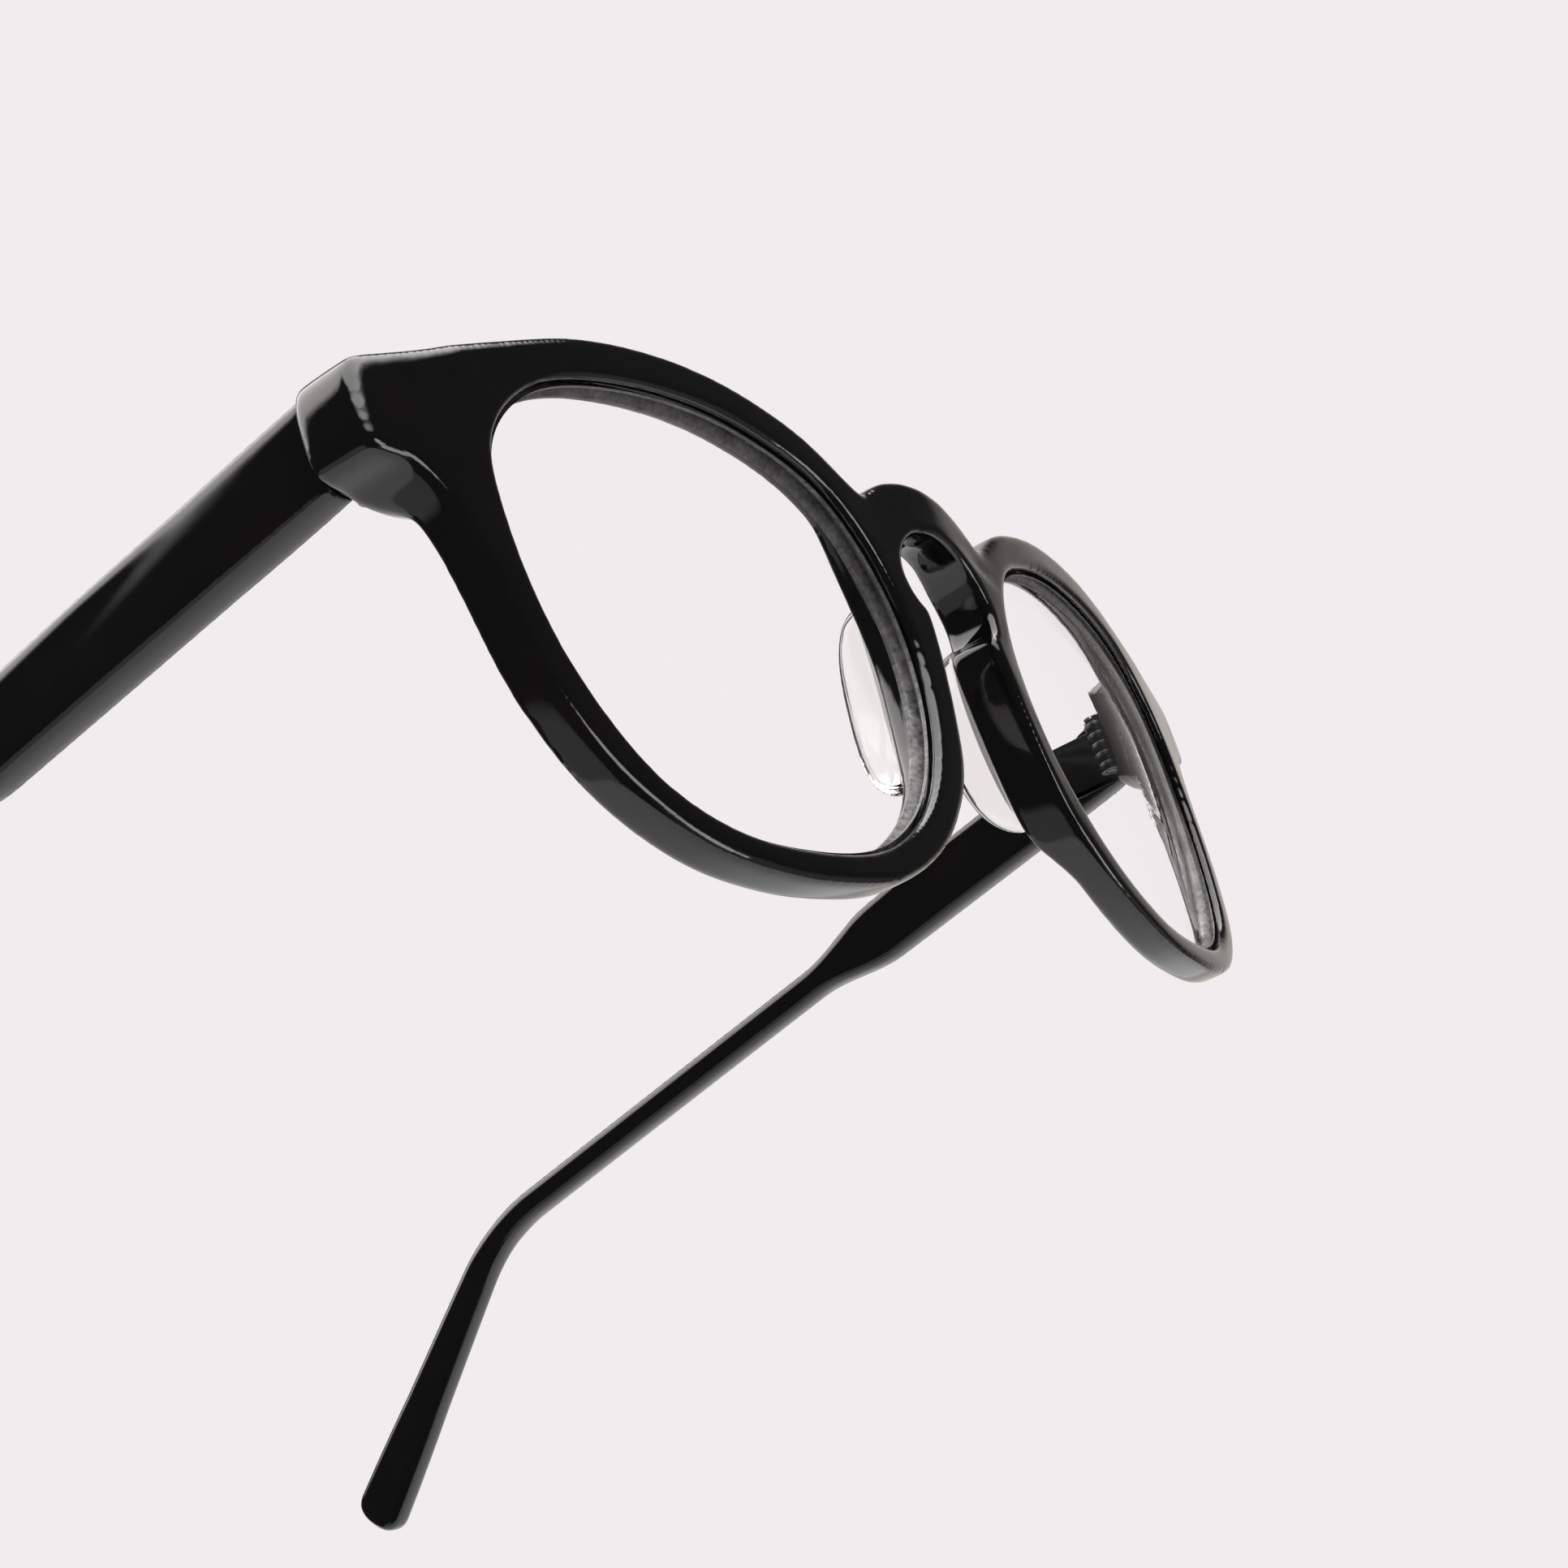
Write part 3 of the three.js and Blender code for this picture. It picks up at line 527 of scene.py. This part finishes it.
def drawn_steel(name, colour, roughness):
    """Steel with fine marks in its sheen."""
    material, tree = new_material(name)
    spread = 0.16
    marks = add_marks(
        tree, Roughness=roughness - spread / 2, Spread=spread, Waves_per_metre=900.0,
        Marks_per_metre=6000.0,
    )
    add_surface(
        tree,
        Base_Color=mix_colours(tree, (-200, 200), marks["Wear"], darker(colour, 0.8), colour),
        Roughness=marks["Roughness"],
        Metallic=1.0,
        Normal=add_bump(tree, (-200, -200), marks["Height"], strength=0.2, distance=0.02 * MM),
    )
    return material


# Pieces

# A face of a lens is part of its ground edge where its normal has less than this share along Y.
GROUND_EDGE_SHARE = 0.9


def lean_end_pieces(piece, sizes):
    """Leans the top of each end piece's outer side inwards in a soft curve."""
    mesh = piece.data
    places = points_of(mesh)
    across = np.abs(places[:, 0])
    outward = np.clip((across - sizes.end_start) / (across.max() - sizes.end_start), 0, 1)
    top = places[across > sizes.end_start, 2].max()
    rise = np.clip((places[:, 2] - top) / sizes.lean_height + 1, 0, 1)
    places[:, 0] -= np.sign(places[:, 0]) * sizes.lean * outward * rise ** 2
    mesh.vertices.foreach_set("co", places.ravel())
    mesh.update()


class GLASSES_OT_front(bpy.types.Operator):
    """Polishes the front: rims, keyhole bridge and end pieces in one piece of acetate"""
    bl_idname = "glasses.front"
    bl_label = "Front"

    def execute(self, context):
        sizes = context.scene.glasses_acetate
        piece = copy_of("front_frame", "polished_front")
        polish(piece, sizes)
        lean_end_pieces(piece, sizes)
        piece.data.materials.append(black_acetate(sizes))
        seat(piece, "front_frame", "front")
        return {"FINISHED"}


class GLASSES_OT_temples(bpy.types.Operator):
    """Polishes the two temples"""
    bl_idname = "glasses.temples"
    bl_label = "Temples"

    def execute(self, context):
        sizes = context.scene.glasses_acetate
        for side in SIDES:
            piece = copy_of(f"{side}_temple", f"polished_{side}_temple")
            polish(piece, sizes)
            piece.data.materials.append(black_acetate(sizes))
            seat(piece, f"{side}_temple", f"{side}_temple")
        return {"FINISHED"}


class GLASSES_OT_lenses(bpy.types.Operator):
    """Smooths the two lenses and frosts the ground edge that sits in each rim"""
    bl_idname = "glasses.lenses"
    bl_label = "Lenses"

    def execute(self, context):
        sizes = context.scene.glasses_lens
        for side in SIDES:
            piece = copy_of(f"{side}_lens", f"clear_{side}_lens")
            subdivide(piece, LENS_CREASE)
            piece.data.materials.append(lens_resin(sizes))
            piece.data.materials.append(ground_edge(sizes))
            for face in piece.data.polygons:
                if abs(face.normal.y) < GROUND_EDGE_SHARE:
                    face.material_index = 1
            shade_smooth(piece, LENS_CORNER)
            seat(piece, f"{side}_lens", "front")
        return {"FINISHED"}


class GLASSES_OT_nose_pads(bpy.types.Operator):
    """Smooths the two clear nose pads"""
    bl_idname = "glasses.nose_pads"
    bl_label = "Nose pads"

    def execute(self, context):
        sizes = context.scene.glasses_pad
        for side in SIDES:
            piece = copy_of(f"{side}_nose_pad", f"crystal_{side}_nose_pad")
            subdivide(piece, PAD_CREASE)
            piece.data.materials.append(crystal_acetate(sizes))
            shade_smooth(piece, PAD_CORNER)
            seat(piece, f"{side}_nose_pad", "front")
        return {"FINISHED"}


class GLASSES_OT_hinges(bpy.types.Operator):
    """Rounds the edges of the hinge leaves and screws and gives them their steel"""
    bl_idname = "glasses.hinges"
    bl_label = "Hinges"

    def execute(self, context):
        sizes = context.scene.glasses_steel
        steel = drawn_steel("hinge steel", sizes.colour, roughness=0.32)
        for side in SIDES:
            for part, body in (
                ("front_hinge_leaf", "front"),
                ("temple_hinge_leaf", f"{side}_temple"),
                ("hinge_screw", "front"),
            ):
                piece = copy_of(f"{side}_{part}", f"satin_{side}_{part}")
                finish_with(
                    piece, "BEVEL", width=sizes.edge, segments=2, limit_method="ANGLE",
                    angle_limit=STEEL_CORNER,
                )
                piece.data.materials.append(steel)
                shade_smooth(piece, STEEL_CORNER)
                seat(piece, f"{side}_{part}", body)
        return {"FINISHED"}


class GLASSES_OT_core_wires(bpy.types.Operator):
    """Gives the wires inside the temples their drawn steel"""
    bl_idname = "glasses.core_wires"
    bl_label = "Core wires"

    def execute(self, context):
        steel = drawn_steel("core wire steel", context.scene.glasses_steel.colour, roughness=0.36)
        for side in SIDES:
            node = frame["nodes"][f"{side}_core_wire"]
            node.data.materials.clear()
            node.data.materials.append(steel)
        return {"FINISHED"}


# Stage

# What polished plastic shows of the studio: name, azimuth, elevation, the angle from that direction
# within which it is full, the angle where it ends, and its colour. The angles are in degrees.
SURROUNDINGS = (
    ("pale sheet", 50, -50, 46, 54, (1.2, 1.18, 1.19)),
    ("pale wall", 30, 10, 24, 58, (0.75, 0.71, 0.67)),
    ("side reflector", 130, -40, 18, 28, (0.6, 0.59, 0.59)),
    ("rear softbox", 114, 58, 23, 33, (4.2, 4.1, 4.05)),
    ("front softbox", -110, 60, 38, 48, (4.8, 4.75, 4.7)),
    ("front strip", -84, -14, 9, 15, (5, 4.95, 4.9)),
    ("low strip", -68, -32, 9, 15, (5, 4.95, 4.9)),
    ("floor glow", -45, -45, 20, 45, (0.32, 0.31, 0.3)),
)
DARK_ROOM = (0.06, 0.06, 0.06)
AMBIENT_COLOUR = (1, 0.985, 0.98)

# The lamps: name, place in metres, and power as a share of the overhead one's.
SOFTBOXES = (
    ("overhead_softbox", (0.32, 0.39, 0.8), 1.0),
    ("front_softbox", (-0.5, -0.7, 0.9), 0.6),
)
SOFTBOX_SIZE = 0.5
SOFTBOX_AIM = (-0.03, -0.02, 0.02)

# In the pair's own axes X points to the wearer's left, Y to the back and Z up, and the origin is midway
# between the lenses. The left temple folds about this place.
FOLD_PLACE = Vector((61.1, 12.75, 11.1)) * MM

# The camera that took the photograph, in the same axes, as fitted to the picture.
CAMERA_EYE = Vector((-192.8, -73.4, -73.7)) * MM
CAMERA_TARGET = Vector((-42.01, 0, -15.6)) * MM
CAMERA_ROLL = math.radians(-18.154)
FOCAL_LENGTH_MM = 60.3
SENSOR_WIDTH_MM = 36


def direction(azimuth, elevation):
    """The unit vector at that azimuth from +X towards +Y, and that elevation, in degrees."""
    turn, rise = math.radians(azimuth), math.radians(elevation)
    return Vector((math.cos(turn) * math.cos(rise), math.sin(turn) * math.cos(rise), math.sin(rise)))


def surroundings(tree):
    """Adds the nodes of the studio that gloss shows and returns their colour output."""
    ahead = add_node(tree, "ShaderNodeTexCoord", (-1500, -500)).outputs["Generated"]
    total = DARK_ROOM
    for row, (name, azimuth, elevation, full, end, colour) in enumerate(SURROUNDINGS):
        low = -500 - 200 * row
        along = add_node(tree, "ShaderNodeVectorMath", (-1300, low), operation="DOT_PRODUCT", label=name)
        feed(along, ahead, direction(azimuth, elevation))
        outer, inner = math.cos(math.radians(end)), math.cos(math.radians(full))
        mask = add_node(tree, "ShaderNodeMapRange", (-1100, low), interpolation_type="SMOOTHSTEP")
        feed(mask, Value=along.outputs["Value"], From_Min=outer, From_Max=inner)
        light = add_node(tree, "ShaderNodeVectorMath", (-900, low), operation="SCALE")
        feed(light, colour, Scale=mask.outputs["Result"])
        brighter = add_node(tree, "ShaderNodeVectorMath", (-700, low), operation="MAXIMUM")
        feed(brighter, total, light.outputs["Vector"])
        total = brighter.outputs["Vector"]
    return total


def add_background(tree, place, colour, strength):
    background = add_node(tree, "ShaderNodeBackground", place)
    feed(background, Color=colour, Strength=strength)
    return background.outputs["Background"]


def backdrop_world(sizes):
    """The backdrop for the camera and behind clear pieces, the studio for gloss, and else an even light."""
    world = bpy.data.worlds.new("studio")
    bpy.context.scene.world = world
    world.use_nodes = True
    tree = world.node_tree
    tree.nodes.clear()
    path = add_node(tree, "ShaderNodeLightPath", (-700, 0)).outputs
    # A ray that gloss sent off shows the studio, also after it goes on through a clear piece.
    through = add_node(tree, "ShaderNodeMath", (-500, -50), operation="SUBTRACT", use_clamp=True)
    feed(through, path["Is Transmission Ray"], path["Glossy Depth"])
    seen = add_node(tree, "ShaderNodeMath", (-300, 0), operation="MAXIMUM")
    feed(seen, path["Is Camera Ray"], through.outputs["Value"])
    ambient = add_background(tree, (-300, -200), opaque(AMBIENT_COLOUR), sizes.ambient)
    backdrop = add_background(tree, (-300, -350), opaque(sizes.backdrop), 1.0)
    gloss = add_background(tree, (-300, -500), surroundings(tree), 1.0)
    light = add_node(tree, "ShaderNodeMixShader", (-50, 0))
    feed(light, path["Is Glossy Ray"], ambient, gloss)
    shown = add_node(tree, "ShaderNodeMixShader", (150, 0))
    feed(shown, seen.outputs["Value"], light.outputs["Shader"], backdrop)
    finish = add_node(tree, "ShaderNodeOutputWorld", (350, 0))
    feed(finish, Surface=shown.outputs["Shader"])


def floor_material(sizes):
    """Pale and matt from above, and clear from below, where the camera is."""
    material, tree = new_material("pale floor")
    place = add_node(tree, "ShaderNodeTexCoord", (-900, -100)).outputs["Object"]
    cloud = add_node(tree, "ShaderNodeTexNoise", (-700, -100))
    feed(cloud, Vector=place, Scale=3.0, Detail=3.0)
    shade = darker(sizes.backdrop, 0.985)
    tone = mix_colours(tree, (-450, -100), cloud.outputs["Fac"], shade, sizes.backdrop)
    matt = add_node(tree, "ShaderNodeBsdfPrincipled", (-200, -50))
    feed(matt, Base_Color=tone, Roughness=0.9, Specular_IOR_Level=0.1)
    clear = add_node(tree, "ShaderNodeBsdfTransparent", (-200, -400))
    side = add_node(tree, "ShaderNodeNewGeometry", (-400, 100))
    shown = add_node(tree, "ShaderNodeMixShader", (100, 0))
    feed(shown, side.outputs["Backfacing"], matt.outputs["BSDF"], clear.outputs["BSDF"])
    finish = add_node(tree, "ShaderNodeOutputMaterial", (300, 0))
    feed(finish, Surface=shown.outputs["Shader"])
    return material


def softbox(name, place, power):
    """Adds a round softbox that gloss does not show, because the surroundings show one in its place."""
    bpy.ops.object.light_add(type="AREA", location=place)
    lamp = bpy.context.object
    lamp.name = name
    lamp.data.shape = "DISK"
    lamp.data.size = SOFTBOX_SIZE
    lamp.data.energy = power
    lamp.visible_glossy = False
    lamp.rotation_mode = "QUATERNION"
    lamp.rotation_quaternion = (Vector(SOFTBOX_AIM) - Vector(place)).to_track_quat("-Z", "Y")


def standing_frame():
    """How the pair's own axes stand in the CAD frame."""
    hinge = next(joint for joint in frame["joints"] if joint["name"] == "left_temple_fold")
    axis = Vector(hinge["axis"])
    tilt = Matrix.Rotation(math.atan2(-axis.y, axis.z), 4, "X")
    return Matrix.Translation(Vector(hinge["pos_m"]) - tilt @ FOLD_PLACE) @ tilt


class GLASSES_OT_stage(bpy.types.Operator):
    """Sets the pale floor and backdrop, the lamps and the camera"""
    bl_idname = "glasses.stage"
    bl_label = "Stage"

    def execute(self, context):
        sizes = context.scene.glasses_stage
        backdrop_world(sizes)
        deselect_all()
        bpy.ops.mesh.primitive_plane_add(size=sizes.floor_size, location=(0, 0, 0))
        floor = context.object
        floor.name = "floor"
        floor.data.materials.append(floor_material(sizes))
        floor.visible_glossy = False
        for name, place, share in SOFTBOXES:
            softbox(name, place, share * sizes.overhead)
        self.add_camera(context)
        context.scene.view_settings.view_transform = "Standard"
        return {"FINISHED"}

    def add_camera(self, context):
        """The photograph's view: from below, in front and to the wearer's right."""
        ahead = (CAMERA_TARGET - CAMERA_EYE).normalized()
        right = ahead.cross(Vector((0, 0, 1))).normalized()
        up = right.cross(ahead)
        right, up = (
            right * math.cos(CAMERA_ROLL) + up * math.sin(CAMERA_ROLL),
            up * math.cos(CAMERA_ROLL) - right * math.sin(CAMERA_ROLL),
        )
        turned = Matrix((right, up, -ahead)).transposed().to_4x4()
        bpy.ops.object.camera_add()
        camera = context.object
        camera.name = "camera"
        camera.data.sensor_width = SENSOR_WIDTH_MM
        camera.data.lens = FOCAL_LENGTH_MM
        camera.data.clip_start = 10 * MM
        camera.matrix_world = standing_frame() @ Matrix.Translation(CAMERA_EYE) @ turned
        context.scene.camera = camera


class GLASSES_PT_panel(bpy.types.Panel):
    """Lists the pieces of the glasses with their sizes and colours"""
    bl_idname = "GLASSES_PT_panel"
    bl_label = "Reading glasses"
    bl_space_type = "VIEW_3D"
    bl_region_type = "UI"
    bl_category = "Glasses"

    def draw(self, context):
        scene = context.scene
        for settings, steps in (
            (scene.glasses_acetate, (GLASSES_OT_front, GLASSES_OT_temples)),
            (scene.glasses_lens, (GLASSES_OT_lenses,)),
            (scene.glasses_pad, (GLASSES_OT_nose_pads,)),
            (scene.glasses_steel, (GLASSES_OT_hinges, GLASSES_OT_core_wires)),
            (scene.glasses_stage, (GLASSES_OT_stage,)),
        ):
            box = self.layout.box()
            for name in settings.__annotations__:
                box.prop(settings, name)
            for step in steps:
                box.operator(step.bl_idname)


SETTINGS = (
    ("glasses_acetate", AcetateProperties),
    ("glasses_lens", LensProperties),
    ("glasses_pad", PadProperties),
    ("glasses_steel", SteelProperties),
    ("glasses_stage", StageProperties),
)
STEPS = (
    GLASSES_OT_front, GLASSES_OT_temples, GLASSES_OT_lenses, GLASSES_OT_nose_pads,
    GLASSES_OT_hinges, GLASSES_OT_core_wires, GLASSES_OT_stage,
)


def register():
    for name, group in SETTINGS:
        bpy.utils.register_class(group)
        setattr(bpy.types.Scene, name, PointerProperty(type=group))
    for step in (*STEPS, GLASSES_PT_panel):
        bpy.utils.register_class(step)


def unregister():
    for step in reversed((*STEPS, GLASSES_PT_panel)):
        bpy.utils.unregister_class(step)
    for name, group in reversed(SETTINGS):
        delattr(bpy.types.Scene, name)
        bpy.utils.unregister_class(group)


def main():
    register()
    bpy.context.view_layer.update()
    bpy.ops.glasses.front()
    bpy.ops.glasses.temples()
    bpy.ops.glasses.lenses()
    bpy.ops.glasses.nose_pads()
    bpy.ops.glasses.hinges()
    bpy.ops.glasses.core_wires()
    bpy.ops.glasses.stage()


if __name__ == "__main__":
    main()
